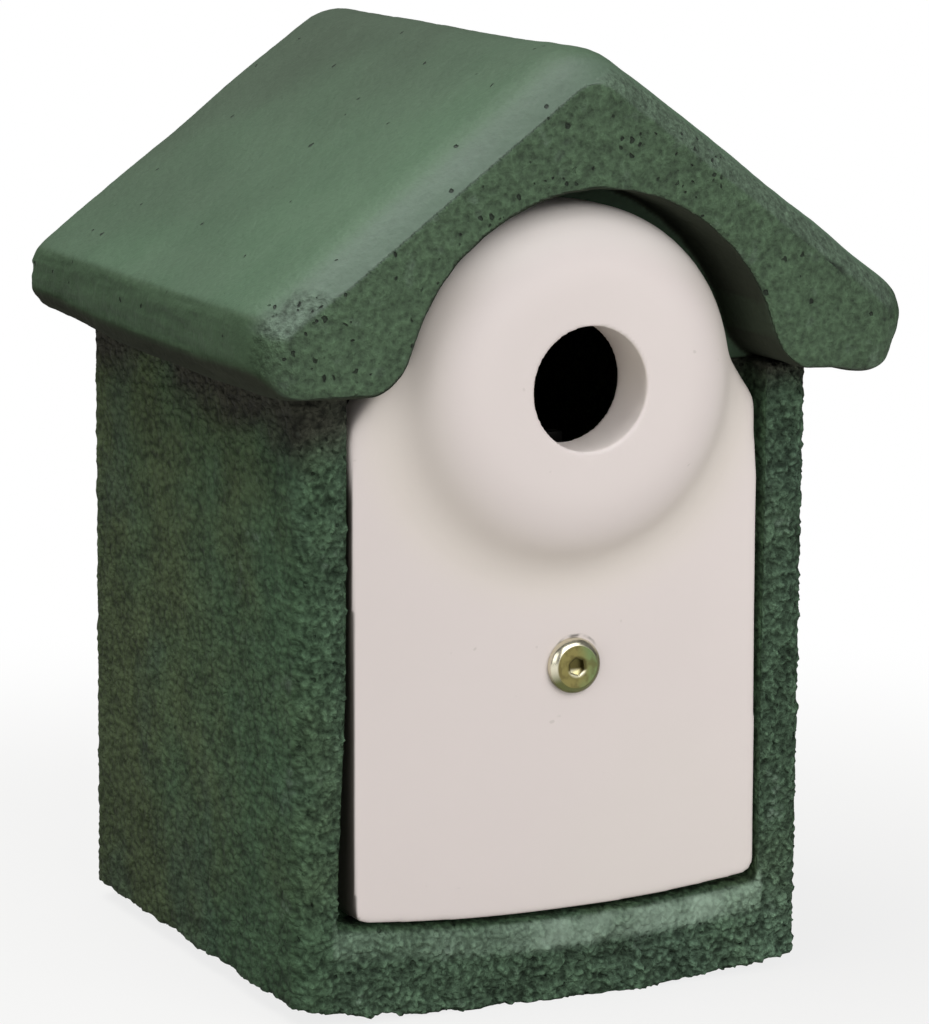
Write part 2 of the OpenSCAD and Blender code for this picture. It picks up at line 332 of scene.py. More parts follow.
# %% [markdown]
# A casting is never as flat as its drawing. Each solid is copied and covered with an even net of points
# about a millimetre apart, which Blender calls a voxel remesh. Those points can then be moved by numbers:
# smoothed where the mould's edge was soft, and pushed in and out where the surface is rough.

# %% Casts and how they are moved
def cast_of(node, name, net):
    """A copy of a solid under a new name, covered with an even net of points."""
    mesh = nodes[node].data.copy()
    cast = placed(name, mesh)
    mesh.materials.clear()
    mesh.remesh_voxel_size = net
    with bpy.context.temp_override(object=cast, active_object=cast, selected_objects=[cast]):
        bpy.ops.object.voxel_remesh()
    return cast


def points_of(cast):
    flat = np.empty(len(cast.data.vertices) * 3)
    cast.data.vertices.foreach_get("co", flat)
    return flat.reshape(-1, 3)


def normals_of(cast):
    flat = np.empty(len(cast.data.vertices) * 3, np.float32)
    cast.data.vertex_normals.foreach_get("vector", flat)
    return flat.reshape(-1, 3).astype(float)


def edges_of(cast):
    flat = np.empty(len(cast.data.edges) * 2, np.int32)
    cast.data.edges.foreach_get("vertices", flat)
    return flat.reshape(-1, 2)


def put_points(cast, points):
    cast.data.vertices.foreach_set("co", points.ravel())
    cast.data.update()


def softened(points, edges, weight, rounds, shrink=True):
    """Moves each point towards the middle of its neighbours, as far as its weight allows. Where the
    shape mustn't shrink, each step in is followed by a slightly longer step out."""
    edges = edges[(weight[edges] > 0).any(1)]
    start, end = edges.T
    count = np.maximum(np.bincount(edges.ravel(), minlength=len(points)), 1)[:, None]
    for pull in ([0.5] if shrink else [0.5, -0.53]) * rounds:
        total = np.stack([np.bincount(start, p[end], len(p)) + np.bincount(end, p[start], len(p))
                          for p in points.T], 1)
        points = points + pull * weight[:, None] * (total / count - points)
    return points


def evened(points, edges, rounds):
    """Takes the steps of the net out of the whole shape without shrinking it."""
    return softened(points, edges, np.full(len(points), 0.9), rounds, shrink=False)


# %% [markdown]
# Where a mark begins and ends is said with soft steps, because nothing on a casting stops at a line.
# step() takes plain numbers, and rise() and fall() take places in millimetres. What is worked out for each
# point is kept on the mesh, so that a material can read it later. At the end points are taken away
# where the surface is flat, so that the mesh is no larger than it has to be.

# %% Soft steps and kept values
def step(value, low, high):
    """0 below low, 1 above high and a smooth step from one to the other."""
    t = np.clip((value - low) / (high - low), 0, 1)
    return t * t * (3 - 2 * t)


def rise(value, low, high):
    """A step from 0 to 1 between two places in millimetres."""
    return step(value, low * MM, high * MM)


def fall(value, low, high):
    """A step from 1 to 0 between two places in millimetres."""
    return 1 - rise(value, low, high)


def keep(cast, **kept):
    """Keeps values on each point, so that a material can read them."""
    for name, values in kept.items():
        layer = cast.data.attributes.new(name, "FLOAT", "POINT")
        layer.data.foreach_set("value", np.ascontiguousarray(values, np.float32))


def triangles_of(cast):
    return sum(len(p.vertices) - 2 for p in cast.data.polygons)


def applied(piece):
    """Makes what the modifiers do part of the mesh."""
    fixed = bpy.data.meshes.new_from_object(piece.evaluated_get(bpy.context.evaluated_depsgraph_get()))
    piece.modifiers.clear()
    piece.data = fixed
    fixed.shade_smooth()


def thinned(cast, triangles):
    """Takes points away where the surface is flat, down to that many triangles."""
    before = triangles_of(cast)
    cast.modifiers.new("thin", "DECIMATE").ratio = min(1.0, triangles / before)
    applied(cast)
    print(cast.name, before, "triangles, kept", triangles_of(cast))


# %% [markdown]
# Three kinds of roughness cover what a wood-concrete surface shows: soft swells, packed grains with
# dark cracks between them, and single blow holes where air sat against the mould. Each comes from a
# seeded table of random numbers, so the box looks the same each time.

# %% Swells, grains and holes
class Swell:
    """Smooth noise from -1 to 1, blended between random values on a grid that repeats."""

    def __init__(self, seed, cells=48):
        self.cells = cells
        self.value = np.random.default_rng(seed).uniform(-1, 1, (cells, cells, cells))

    def __call__(self, points, size):
        p = points / size
        low = np.floor(p).astype(int)
        f = p - low
        f = f * f * f * (f * (f * 6 - 15) + 10)
        total = 0
        for corner in itertools.product((0, 1), repeat=3):
            share = np.where(corner, f, 1 - f).prod(1)
            total = total + share * self.value[tuple(((low + corner) % self.cells).T)]
        return total

    def layered(self, points, size, layers):
        """Swells on swells, each half as large as the last."""
        return sum(self(points + 7.3 * size * k, size / 2 ** k) / 2 ** k for k in range(layers))


class Grains:
    """Packed grains: 1 in the middle of a grain and 0 in the cracks between them."""

    FAR = 9.0

    def __init__(self, seed, cells=40):
        self.cells = cells
        self.jitter = np.random.default_rng(seed).uniform(0, 1, (cells, cells, cells, 3))

    def __call__(self, points, size):
        p = points / size
        low = np.floor(p).astype(int)
        near = np.full(len(p), self.FAR)
        second = np.full(len(p), self.FAR)
        for shift in itertools.product((-1, 0, 1), repeat=3):
            cell = low + shift
            away = np.linalg.norm(cell + self.jitter[tuple((cell % self.cells).T)] - p, axis=1)
            second = np.minimum(second, np.maximum(near, away))
            near = np.minimum(near, away)
        return step(second - near, 0.0, 0.55)


def holes(points, where, count, radii, seed):
    """How deep each point lies in one of the round blow holes, from 0 to 1."""
    rng = np.random.default_rng(seed)
    middles = rng.choice(len(points), count, p=where / where.sum())
    tree = KDTree(len(points))
    for i, p in enumerate(points):
        tree.insert(p, i)
    tree.balance()
    depth = np.zeros(len(points))
    for middle, share in zip(middles, rng.uniform(0, 1, count)):
        radius = radii[0] + (radii[1] - radii[0]) * share ** 2
        for _, i, d in tree.find_range(points[middle], radius):
            depth[i] = max(depth[i], (1 - (d / radius) ** 2) * min(1.0, radius / radii[1] + 0.35))
    return depth


# %% [markdown]
# The body is one moulding: floor, walls, and a front frame with a rebate that the panel sits in. The
# mould's own edge under the panel is soft, so the points there are smoothed more than the rest. The gap
# left of the panel opens a little towards the foot, which moving the rebate's wall outwards gives.

# %% Body casting
BODY_NET = 0.9 * MM
REBATE_HALF = 59.6 * MM
PANEL_HALF, PANEL_GAP, PANEL_SAG = 58 * MM, 1.6 * MM, 3.5 * MM
GAP_GROWTH = 2 * MM

body_low, body_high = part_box("body_shell")
panel_low, panel_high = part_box("front_panel")
LIP_FRONT = panel_high.y

body = cast_of("body_shell", "body_casting", BODY_NET)
points, edges = points_of(body), edges_of(body)
x, y, z = points.T
sill_edge = panel_low.z - PANEL_GAP + PANEL_SAG * (x / PANEL_HALF) ** 2
lip = fall(np.hypot(y - body_low.y, z - sill_edge + 3 * MM), 3.5, 7)
lip *= np.abs(x) < REBATE_HALF + 2 * MM
points = softened(evened(points, edges, 3), edges, lip, 6)
left_wall = rise(points[:, 0], -68, -60) * (points[:, 0] < -50 * MM) * (points[:, 1] < LIP_FRONT + 0.4 * MM)
points[:, 0] -= GAP_GROWTH * left_wall * fall(z, 30, 95) * rise(z, 12, 20)
put_points(body, points)
print("body net", len(points), "points, soft sill edge on", int((lip > 0).sum()))

# %% [markdown]
# The body is also the roughest piece. Its outside shows packed grains two to three millimetres large with
# dark cracks and holes, coarser on the front frame than on the sides, and its lower edge crumbles. The
# inside is calmer, and in the rebate nothing is pushed out, so that the panel can come out of it.

# %% Grain of the body
COARSE_GRAIN, FINE_GRAIN = 3.0 * MM, 1.9 * MM
BODY_HOLES, BODY_HOLE_RADII = 700, (0.7 * MM, 1.5 * MM)
BODY_TRIANGLES = 195000

normals = normals_of(body)
x, y, z = points.T
to_outside = np.minimum.reduce([body_high.x - np.abs(x), y - body_low.y, body_high.y - y, z])
outside = fall(to_outside, 1.2, 2.4)
outside = np.maximum(outside, step(-normals[:, 2], 0.4, 0.8) * (z < 10 * MM))
front = step(-normals[:, 1], 0.2, 0.8) * outside
coarse_front = front * (0.35 + 0.65 * rise(x, -71, -57))
rebate = ((np.abs(x) < REBATE_HALF + 2 * MM) * (y < LIP_FRONT + 12 * MM)
          * (z > sill_edge - 2 * MM) * (1 - front))
lower_edge = fall(z, 4, 13) * outside

swell, grains = Swell(11), Grains(12)
stirred = points + 0.7 * MM * np.stack([swell(points + k, 2.5 * MM) for k in (0, 1, 2)], 1)
coarse, fine = grains(stirred, COARSE_GRAIN), grains(points, FINE_GRAIN)
large, small = swell.layered(points, 20 * MM, 2), swell.layered(points, 2.4 * MM, 1)
pits = holes(points, outside * (0.25 + front) + 1e-9, BODY_HOLES, BODY_HOLE_RADII, 13)
relief = ((0.25 + 0.7 * coarse_front) * (coarse - 0.7) + (0.3 + 0.15 * coarse_front) * (fine - 0.7)
          + (0.14 + 0.2 * coarse_front) * small + 0.12 * large - (0.6 + 0.5 * coarse_front) * pits)
relief -= np.average(relief, weights=outside)
relief *= (outside + 0.15 * (1 - outside)) * (1 - 0.75 * lip)
relief += 0.5 * lower_edge * swell.layered(points, 6 * MM, 3)
relief = np.where(rebate > 0.5, np.minimum(relief, 0) * 0.5, relief)
points = points + normals * (relief * MM)[:, None]
points[:, 2] = np.maximum(points[:, 2], 0.0)
put_points(body, points)
# Painted highlight on the sill's lip under the panel, strongest towards the right.
lit_lip = lip * front * (0.35 + 0.65 * rise(x, -45, 0)) * (0.75 + 0.5 * swell.layered(points, 9 * MM, 2))
keep(body, relief=relief, smooth_lip=lit_lip, front=coarse_front)
thinned(body, BODY_TRIANGLES)

# %% [markdown]
# The body's colour is a green stain in grey-brown wood-concrete. It is uneven in patches: olive towards
# the back, cooler and greener towards the front. Painted shade darkens the top of the walls under the
# roof, with a brownish cast, and the sides towards the foot and the back. A painted highlight lightens the
# sill's lip and the lower right corner of the front, and the front is painted lighter than the sides. The
# finest grains would need too many points, so they are painted and bumped, drawn out a little along the
# side walls. Cracks and holes are nearly black, because no stain and no light reaches into them.

# %% Green stain of the body
GREEN, OLIVE, COOL_GREEN = (0.056, 0.104, 0.056), (0.072, 0.094, 0.044), (0.054, 0.094, 0.068)
FRONT_GREEN, EAVE_SHADE_BROWN = (0.068, 0.1, 0.076), (0.04, 0.037, 0.03)
LIP_HIGHLIGHT_GREEN, SCUFFED_GREEN = (0.185, 0.25, 0.195), (0.13, 0.165, 0.14)

stain = Paint(bpy.data.materials.new("green_body"))
# smooth_lip is the sill's smooth lip, which also carries a painted highlight.
facing, smooth = stain.stored("front"), stain.stored("smooth_lip")
width, depth, height_up = (stain.along(axis) for axis in "XYZ")
patches = stain.noise(26 * MM, 3)
olive = (depth * 7 + patches * 1.6 - stain.noise(9 * MM, 2) * 0.5).between(0.0, 0.9)
cool = stain.noise(15 * MM, 4, stain.stretched(1, 1, 0.7)).between(0.5, 0.66)
scuffs = stain.noise(5 * MM, 4).between(0.6, 0.75) * (depth * -14 + patches - 0.2).between(0, 1)
# Painted shade under the eave at the top of the walls, with a brownish cast.
eave_shade = (height_up * 30 + stain.noise(20 * MM, 3) * 1.4).between(5.15, 5.55)
# Painted shade on the sides towards the foot and the back, and a painted highlight at the lower right of
# the front.
painted_shade_and_light = ((1 - 0.14 * (1 - height_up.between(10 * MM, 80 * MM)) * (1 - facing))
       * (1 - 0.12 * depth.between(10 * MM, 70 * MM))
       * (1 + 0.3 * facing * width.between(15 * MM, 60 * MM) * (1 - height_up.between(20 * MM, 45 * MM))))

stain.place = stain.stretched(1, 0.6, 1)
bumps = stain.grains(FINE_GRAIN)
grit = stain.noise(0.8 * MM, 2, roughness=0.6).between(0.3, 0.7)
clumps = stain.noise(3.2 * MM, 3).between(0.3, 0.7)
specks = stain.dots(3.1 * MM, 0.8 * MM, 0.35)
cracks = stain.stored("relief").between(-1.1, 0.2)
colour = stain.coats(GREEN, (olive * 0.8, OLIVE), (cool * 0.35, COOL_GREEN), (facing * 0.4, FRONT_GREEN),
                     (eave_shade * 0.9, EAVE_SHADE_BROWN), (smooth * 0.9, LIP_HIGHLIGHT_GREEN),
                     (scuffs * bumps * 0.4, SCUFFED_GREEN))
even = 1 - 0.7 * smooth
contrast = even * (1 + 0.15 * facing)
# The front is painted lighter than the sides here, as painted light.
light = ((0.58 + 0.54 * cracks) * (1 + contrast * (0.5 * bumps + 0.5 * grit + 0.35 * clumps - 0.68))
         * (1 - 0.5 * specks * even) * (0.85 + 0.37 * facing) * painted_shade_and_light)
height = (bumps + 0.5 * grit + 0.8 * clumps - specks) * even * (1 + 0.7 * facing)
stain.finished(body, stain.skin(base_color=stain.shade(colour, light), roughness=0.85 + 0.12 * grit,
                                normal=stain.bump(height, 0.55 * MM), specular_ior_level=0.15))
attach(body, "box")
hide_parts("body_shell")

# %% [markdown]
# The roof came out of a smoother mould. Its rim over the panel and the feet of its arch are rubbed
# round, so the points near the arch and along the lower edge in front are smoothed the most.

# %% Roof casting
ROOF_NET = 0.75 * MM
ARCH_MIDDLE = (1.6 * MM, 160.5 * MM)
ARCH_R = 53 * MM

roof_low, roof_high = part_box("roof")
half = (roof_high.x - roof_low.x) / 2

roof = cast_of("roof", "roof_casting", ROOF_NET)
points, edges = points_of(roof), edges_of(roof)
x, y, z = points.T
side = np.abs(x)
to_arch = np.abs(np.hypot(x - ARCH_MIDDLE[0], z - ARCH_MIDDLE[1]) - ARCH_R)
foot = (((z < roof_low.z + 6 * MM) & (side > 60 * MM))
        | ((z < roof_low.z + 20 * MM) & (side < 74 * MM) & (side > 45 * MM)))
rim = np.maximum(fall(to_arch, 3, 7), foot) * fall(y - roof_low.y, 4, 8)
points = softened(evened(points, edges, 4), edges, rim, 14)
print("roof net", len(points), "points, rubbed rim on", int((rim > 0).sum()))

# %% [markdown]
# No eave end of a casting is as square as its drawing. The right one droops into a blunt nose, and the
# left one lifts a little at the back. Each end is a square corner that is bent into a circle: a point
# keeps its direction from the corner's middle, and its distance shrinks from the square's to the
# circle's. Plain smoothing then takes out what creases are left.

# %% Worn eave ends
FOOT_DROP, BACK_LIFT = 2 * MM, 3.2 * MM
NOSE_DROP, NOSE_OUT = 2.5 * MM, 3.5 * MM
RIGHT_ROUND, LEFT_ROUND = 13 * MM, 7 * MM
PLAN_ROUND, PLAN_REACH, PLAN_DEPTH = 5 * MM, 12 * MM, 16 * MM

x, y, z = points.T.copy()
behind = y - roof_low.y
outward = np.abs(x - ARCH_MIDDLE[0]) - half
by_front = fall(behind, 18, 50)
by_back = step(y, 5 * MM, roof_high.y)
low = np.clip(1 - (z - roof_low.z) / (20 * MM), 0, 1)
z -= FOOT_DROP * (x > 0) * rise(outward, -25, -14) * low * fall(behind, 12, 17)
z += BACK_LIFT * (x < 0) * rise(outward, -22, -8) * low * by_back
z -= NOSE_DROP * (x > 0) * rise(outward, -20, 0) * by_front
x += NOSE_OUT * (x > 0) * rise(outward, -16, -3) * by_front

outward = np.abs(x - ARCH_MIDDLE[0]) - half
reach = np.where(x > 0, RIGHT_ROUND, LEFT_ROUND)
u, v = np.maximum(outward / reach + 1, 0), np.maximum((roof_low.z - z) / reach + 1, 0)
inward = (1 - np.maximum(u, v) / np.maximum(np.hypot(u, v), 1e-9)) * reach * by_front
x -= np.sign(x) * u * inward
z += v * inward
sagitta = 1 - np.sqrt(1 - np.clip(1 + outward / PLAN_REACH, 0, 1) ** 2)
y += PLAN_ROUND * sagitta * np.clip(1 - behind / PLAN_DEPTH, 0, 1)
at_end = rise(outward, -26, -10) * by_front
points = softened(np.stack([x, y, z], 1), edges, np.where(x > 0, 0.95, 0.35) * at_end, 130)
put_points(roof, points)
print("eave ends bent on", int((at_end > 0).sum()), "points")

# %% [markdown]
# The slopes are nearly even, the gable in front and the eaves are rough, and a thin seam of the mould
# shows beside the right verge. Each of these is a mask that says how much a point belongs to it: by the
# way its normal points, and by where it lies. The masks shape the relief and are kept for the paint.

# %% Grain and masks of the roof
ROOF_TRIANGLES = 195000
PIT_CROWD = (22 * MM, 221 * MM)

normals = normals_of(roof)
facing_front, facing_up = -normals[:, 1], normals[:, 2]
x, y, z = points.T
loose = np.maximum(rise(x, -4, 14), rise(outward, -24, -12))
gable = step(facing_front, 0.82 - 0.5 * loose, 0.92 - 0.3 * loose) * (y < roof_low.y + 16 * MM)
gable = np.maximum(gable, 0.8 * step(-facing_front, 0.6, 0.9) * (y > roof_high.y - 8 * MM))
slope = step(facing_up, 0.5, 0.75)
eave = step(np.abs(x - ARCH_MIDDLE[0]), half - 8 * MM, half - 2 * MM) * (1 - slope)
edge = rise(roof_low.y + 12 * MM - y, 0, 8) * slope
# The undersides are matt, and they are painted dark brown as painted shade.
under = step(-facing_up, 0.0, 0.45) * (1 - gable)
# The rolled verge, which gets a painted sheen.
verge = step(facing_front, 0.25, 0.6) * (1 - step(facing_front, 0.84, 0.92)) * step(facing_up, 0.12, 0.35)
verge *= (1 - 0.55 * rise(x, -10, 12)) * (y < roof_low.y + 22 * MM)

swell, streaks = Swell(21), Swell(22)
large, small = swell.layered(points, 34 * MM, 3), swell.layered(points, 3.4 * MM, 2)
scrapes = streaks.layered(points * (1, 0.12, 1), 2.6 * MM, 2)
seam = (1 - step(np.abs(facing_front - 0.88), 0.05, 0.11)) * (facing_up > 0.05) * rise(x, 45, 75)
seam *= step(swell(points, 5 * MM), -0.5, 0.3) * (y < roof_low.y + 14 * MM)
low_left = rise(-x, 40, 75) * fall(z, 180, 205)
crowds = np.maximum.reduce([low_left, 0.9 * fall(np.hypot(x - PIT_CROWD[0], z - PIT_CROWD[1]), 9, 24),
                            0.7 * (x < 0) * fall(to_arch, 4, 9)])
pitted = step(np.maximum(gable * crowds, 0.8 * edge * fall(z, 188, 212) * (x < 0)), 0.25, 0.6)
hidden = (y > roof_low.y + 20 * MM) * (np.abs(x) < 70 * MM) * (facing_up < 0.5)
relief = 0.4 * large + (0.06 + 0.16 * gable + 0.16 * eave) * small + 0.3 * eave * scrapes - 0.9 * seam
relief *= np.where(hidden, 0.3, 1.0) * (1 - 0.6 * at_end)
put_points(roof, points + normals * (relief * MM)[:, None])
keep(roof, relief=relief, pitted=pitted, under=under, gable=gable, eave=eave, verge=verge, seam=seam)
thinned(roof, ROOF_TRIANGLES)

# %% [markdown]
# The roof has the same green, but closed and even, with a faint mottle and a brownish tint high at the
# back. Its rolled verge gets a pale, greyish painted sheen, its pits are dark and crowd low at the left,
# and its eaves are scraped along their length. The upright gable and eaves are painted darker than the
# slopes, the undersides dark brown and the hollows of the relief a little darker, all as painted shade. The
# slopes have a slight sheen and the undersides none, so two skins with the same colours are mixed, a sheen
# and a matt one.

# %% Green finish of the roof
SLOPE_GREEN, SLOPE_PALE, SLOPE_BROWN = (0.072, 0.134, 0.075), (0.08, 0.141, 0.082), (0.053, 0.08, 0.05)
GABLE_SHADE_GREEN, GABLE_PALE, VERGE_SHEEN_GREEN = (0.057, 0.098, 0.054), (0.1, 0.145, 0.105), (0.113, 0.15, 0.125)
EAVE_GREEN, UNDERSIDE_SHADE, SEAM_DARK = (0.045, 0.074, 0.041), (0.036, 0.036, 0.029), (0.012, 0.018, 0.012)

coat = Paint(bpy.data.materials.new("green_roof"))
gable, eave, under = (coat.stored(name) for name in ("gable", "eave", "under"))
mottle = coat.noise(11 * MM, 4)
rough = (gable + 0.2 * eave).between(0, 1)
brownish = (coat.along("Z") * 9 + coat.along("Y") * 4 + coat.noise(30 * MM, 2) * 0.8).between(2.0, 2.85)
flecks = coat.noise(3 * MM, 3).between(0.58, 0.74) * rough
drop = eave * coat.along("Z").between(168 * MM, 180 * MM)
colour = coat.mix(mottle.between(0.35, 0.7), SLOPE_GREEN, SLOPE_PALE)
# A pale, greyish painted sheen along the rolled verge.
verge = coat.stored("verge") * (0.38 + 0.45 * mottle)
# The upright gable and eaves are painted darker than the slopes, as painted shade.
colour = coat.coats(colour, (brownish * 0.9, SLOPE_BROWN), ((gable + eave).between(0, 1), GABLE_SHADE_GREEN),
                    (flecks * 0.45, GABLE_PALE), (verge, VERGE_SHEEN_GREEN), (drop * 0.4, EAVE_GREEN),
                    (under * 0.9, UNDERSIDE_SHADE), (coat.stored("seam") * 0.75, SEAM_DARK))

crowd = coat.noise(14 * MM, 2).between(0.42, 0.56)
scrapes = eave * (coat.noise(2.4 * MM, 3, coat.stretched(1, 0.14, 1)) - 0.5)
specks = coat.dots(2.6 * MM, 0.8 * MM, 0.85 * coat.stored("pitted") + 0.25 * gable * crowd + 0.05)
grain = coat.noise(0.9 * MM, 2, roughness=0.6)
lumps = coat.noise(3.2 * MM, 3)
# The hollows of the relief are painted a little darker here, as painted shade.
light = ((1 - 0.76 * specks) * (1 + 0.7 * scrapes) * (1 + (0.32 + 1.8 * rough) * (grain - 0.5))
         * (1 + 0.6 * rough * (lumps - 0.5)) * (0.86 + 0.14 * coat.stored("relief").between(-0.6, 0.4)))
height = (0.3 + 1.3 * rough) * grain + (0.3 + 1.2 * rough) * lumps + scrapes - 1.8 * specks
finish = {"base_color": coat.shade(colour, light), "normal": coat.bump(height, 0.8 * MM)}
sheen = coat.skin(roughness=0.56 + 0.12 * mottle + 0.2 * rough, specular_ior_level=0.35, **finish)
matt = coat.skin(roughness=0.95, specular_ior_level=0.02, **finish)
dull = (under + 0.6 * eave).between(0, 1)
coat.finished(roof, coat.node("ShaderNodeMixShader", inputs={0: dull, 1: sheen, 2: matt}))
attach(roof, "box")
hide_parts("roof")

# %% [markdown]
# The panel is a fine, dense casting with a satin skin and soft edges. Its boss should be a smooth swell
# without facets, so after the net is laid over it, the points are smoothed, most of all on the boss and
# the round top, and least at the two holes. A breath of unevenness keeps the flat from looking like
# sheet plastic.

# %% Front panel
PANEL_NET = 0.9 * MM
PANEL_TRIANGLES = 90000
PANEL_SWELL = 0.12 * MM
HOLE = Vector((0.7 * MM, 163 * MM))
HOLE_R = 16 * MM
BOLT_X, BOLT_Z = 4 * MM, 89 * MM

panel = cast_of("front_panel", "front_casting", PANEL_NET)
points, edges = points_of(panel), edges_of(panel)
x, y, z = points.T
from_hole = np.hypot(x - HOLE.x, z - HOLE.y)
by_hole = 1 - step(from_hole, HOLE_R + 1 * MM, HOLE_R + 2.5 * MM)
by_bolt = fall(np.hypot(x - BOLT_X, z - BOLT_Z), 4, 6)
crown = rise(z, 165, 185) * rise(from_hole, 34, 40)
boss = (1 - by_hole) * fall(from_hole, 58, 64) * (y < -66 * MM)
points = softened(evened(points, edges, 3), edges, (1 - by_bolt) * (1 - 0.8 * by_hole), 6)
points = softened(points, edges, np.maximum(boss, 0.6 * crown), 24)
put_points(panel, points)
normals = normals_of(panel)
points = points + normals * (PANEL_SWELL * Swell(31).layered(points, 26 * MM, 2))[:, None]
put_points(panel, points)
x, y, z = points.T
# The left edge, painted nearly black lower down as painted shade in the gap beside the body.
rim = step(-normals[:, 0], 0.4, 0.75) * rise(panel_low.x + 6 * MM - x, 0, 3) * fall(z, 135, 150)
keep(panel, rim=rim)
thinned(panel, PANEL_TRIANGLES)

# %% [markdown]
# The panel's colour is a warm off-white. It could be one colour, but the real casting shows faint clouds
# and a few pin holes, and it is painted with a yellowish ring where the boss runs out and a dark arc over
# the bolt. Its left edge is painted nearly black as painted shade, as if in the dark gap beside the body,
# and the dome's upper left edge under the arch gets painted shade. The entrance's wall gets a painted
# highlight at its foot and yellowish painted shade above, the round top gets a painted highlight, and the
# whole panel is painted darker to the left and lighter to the right as painted light.

# %% Pale finish of the panel
PALE, PALE_WARM, PALE_YELLOW = (0.74, 0.67, 0.65), (0.77, 0.695, 0.675), (0.745, 0.697, 0.65)
FOOT_YELLOW, ARCH_SHADE_GREY, CROWN_HIGHLIGHT = (0.74, 0.685, 0.61), (0.45, 0.4, 0.36), (0.94, 0.88, 0.85)
BORE_LIT_PALE, BORE_SHADED_YELLOW = (0.97, 0.91, 0.86), (0.85, 0.78, 0.67)
BOLT_ARC_DARK, RIM_SHADE, PIN_HOLE = (0.16, 0.145, 0.13), (0.035, 0.03, 0.022), (0.45, 0.41, 0.37)
BOLT_ARC_MIDDLE = (4.8 * MM, 89.4 * MM)

pale = Paint(bpy.data.materials.new("pale_panel"))
clouds, across, height_up = pale.noise(24 * MM, 3), pale.along("X"), pale.along("Z")
from_hole = pale.from_axis(HOLE.x, HOLE.y)
# A dark arc over the bolt's head.
from_bolt = pale.from_axis(*BOLT_ARC_MIDDLE) + 1.4 * MM * pale.noise(1.6 * MM, 3)
bolt_arc = from_bolt.between(7.5 * MM, 7.9 * MM) - from_bolt.between(8.1 * MM, 8.6 * MM)
bolt_arc = bolt_arc * height_up.between(93 * MM, 96 * MM) * pale.noise(1.6 * MM, 2).between(0.3, 0.6)
yellow = pale.noise(60 * MM, 2).between(0.5, 0.75)
boss_foot = from_hole.between(34 * MM, 46 * MM) - from_hole.between(50 * MM, 64 * MM)
# The entrance's wall: a painted highlight at its foot, which faces up, and yellowish painted shade higher
# up.
bore = 1 - from_hole.between(15.5 * MM, 16.4 * MM)
bore_light_and_shade = pale.mix(height_up.between(HOLE.y - 13 * MM, HOLE.y + 6 * MM), BORE_LIT_PALE, BORE_SHADED_YELLOW)
# Painted shade from the arch on the dome's upper left edge.
arch_shade = from_hole.between(42 * MM, 51 * MM) * height_up.between(160 * MM, 178 * MM)
arch_shade = arch_shade * (1 - across.between(-32 * MM, -8 * MM))
# A painted highlight on the round top.
crown = from_hole.between(33 * MM, 40 * MM) * height_up.between(185 * MM, 200 * MM)
pin_holes = pale.noise(1.6 * MM, 1).between(0.78, 0.84)
colour = pale.coats(pale.mix(clouds, PALE, PALE_WARM), (yellow * 0.5, PALE_YELLOW),
                    (boss_foot * 0.5, FOOT_YELLOW), (bore, bore_light_and_shade), (arch_shade * 0.4, ARCH_SHADE_GREY),
                    (crown * 0.6, CROWN_HIGHLIGHT), (bolt_arc * 0.85, BOLT_ARC_DARK),
                    (pale.stored("rim") * 0.95, RIM_SHADE), (pin_holes * 0.35, PIN_HOLE))
height = pale.noise(1.5 * MM, 3) + 2 * pale.noise(9 * MM, 2)
# The panel is painted darker to the left and lighter to the right, as painted light.
pale.finished(panel, pale.skin(base_color=pale.shade(colour, 1 + 0.95 * across),
                               roughness=0.46 + 0.12 * clouds, specular_ior_level=0.4,
                               normal=pale.bump(height, 0.05 * MM, 0.5)))
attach(panel, "front")
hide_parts("front_panel")

# %% [markdown]
# The bolt and the nut are turned parts, so they are built as a lathe would leave them: a stack of rings,
# skinned from one to the next. A ring's radius may change around it, which gives the hexagon of a socket
# or a nut and the ridge of a thread from the same few lines.

# %% Rings on the bolt's axis
SEGMENTS = 96
AROUND = np.arange(SEGMENTS) * 2 * math.pi / SEGMENTS
BOLT = Vector((BOLT_X, 0, BOLT_Z))
RING_CREASE = math.radians(32)


def hexagon(across_flats, turn=0.0):
    """Radius all round of a hexagon of that width."""
    a = (AROUND + turn) % (math.pi / 3) - math.pi / 6
    return across_flats / 2 / np.cos(a)


def threaded(radius, y, pitch, depth):
    """Radius all round of a thread at one place along it."""
    turn = (y / pitch + AROUND / (2 * math.pi)) % 1
    return radius - depth * np.abs(2 * turn - 1)


def ringed(name, rings, closed):
    """Skins rings of (radius, y) from one to the next: a closed loop of rings, or capped at both ends."""
    verts, faces = [], []
    for radius, y in rings:
        r = np.broadcast_to(radius, SEGMENTS)
        verts += [(BOLT.x + r[i] * math.cos(a), y, BOLT.z + r[i] * math.sin(a))
                  for i, a in enumerate(AROUND)]
    count = len(rings)
    for k in range(count if closed else count - 1):
        for i in range(SEGMENTS):
            j = (i + 1) % SEGMENTS
            n = (k + 1) % count
            faces.append((k * SEGMENTS + i, n * SEGMENTS + i, n * SEGMENTS + j, k * SEGMENTS + j))
    if not closed:
        faces.append(tuple(range(SEGMENTS)))
        faces.append(tuple((count - 1) * SEGMENTS + i for i in reversed(range(SEGMENTS))))
    mesh = bpy.data.meshes.new(name)
    mesh.from_pydata(verts, [], faces)
    mesh.validate()
    mesh.shade_smooth()
    mesh.set_sharp_from_angle(angle=RING_CREASE)
    print(name, len(rings), "rings,", len(faces), "faces")
    return placed(name, mesh)


# %% [markdown]
# The bolt is a flat furniture bolt: a wide, low head with a bevelled rim, a hex socket and a threaded end.
# The thread is real geometry, because it shows once the panel is off.

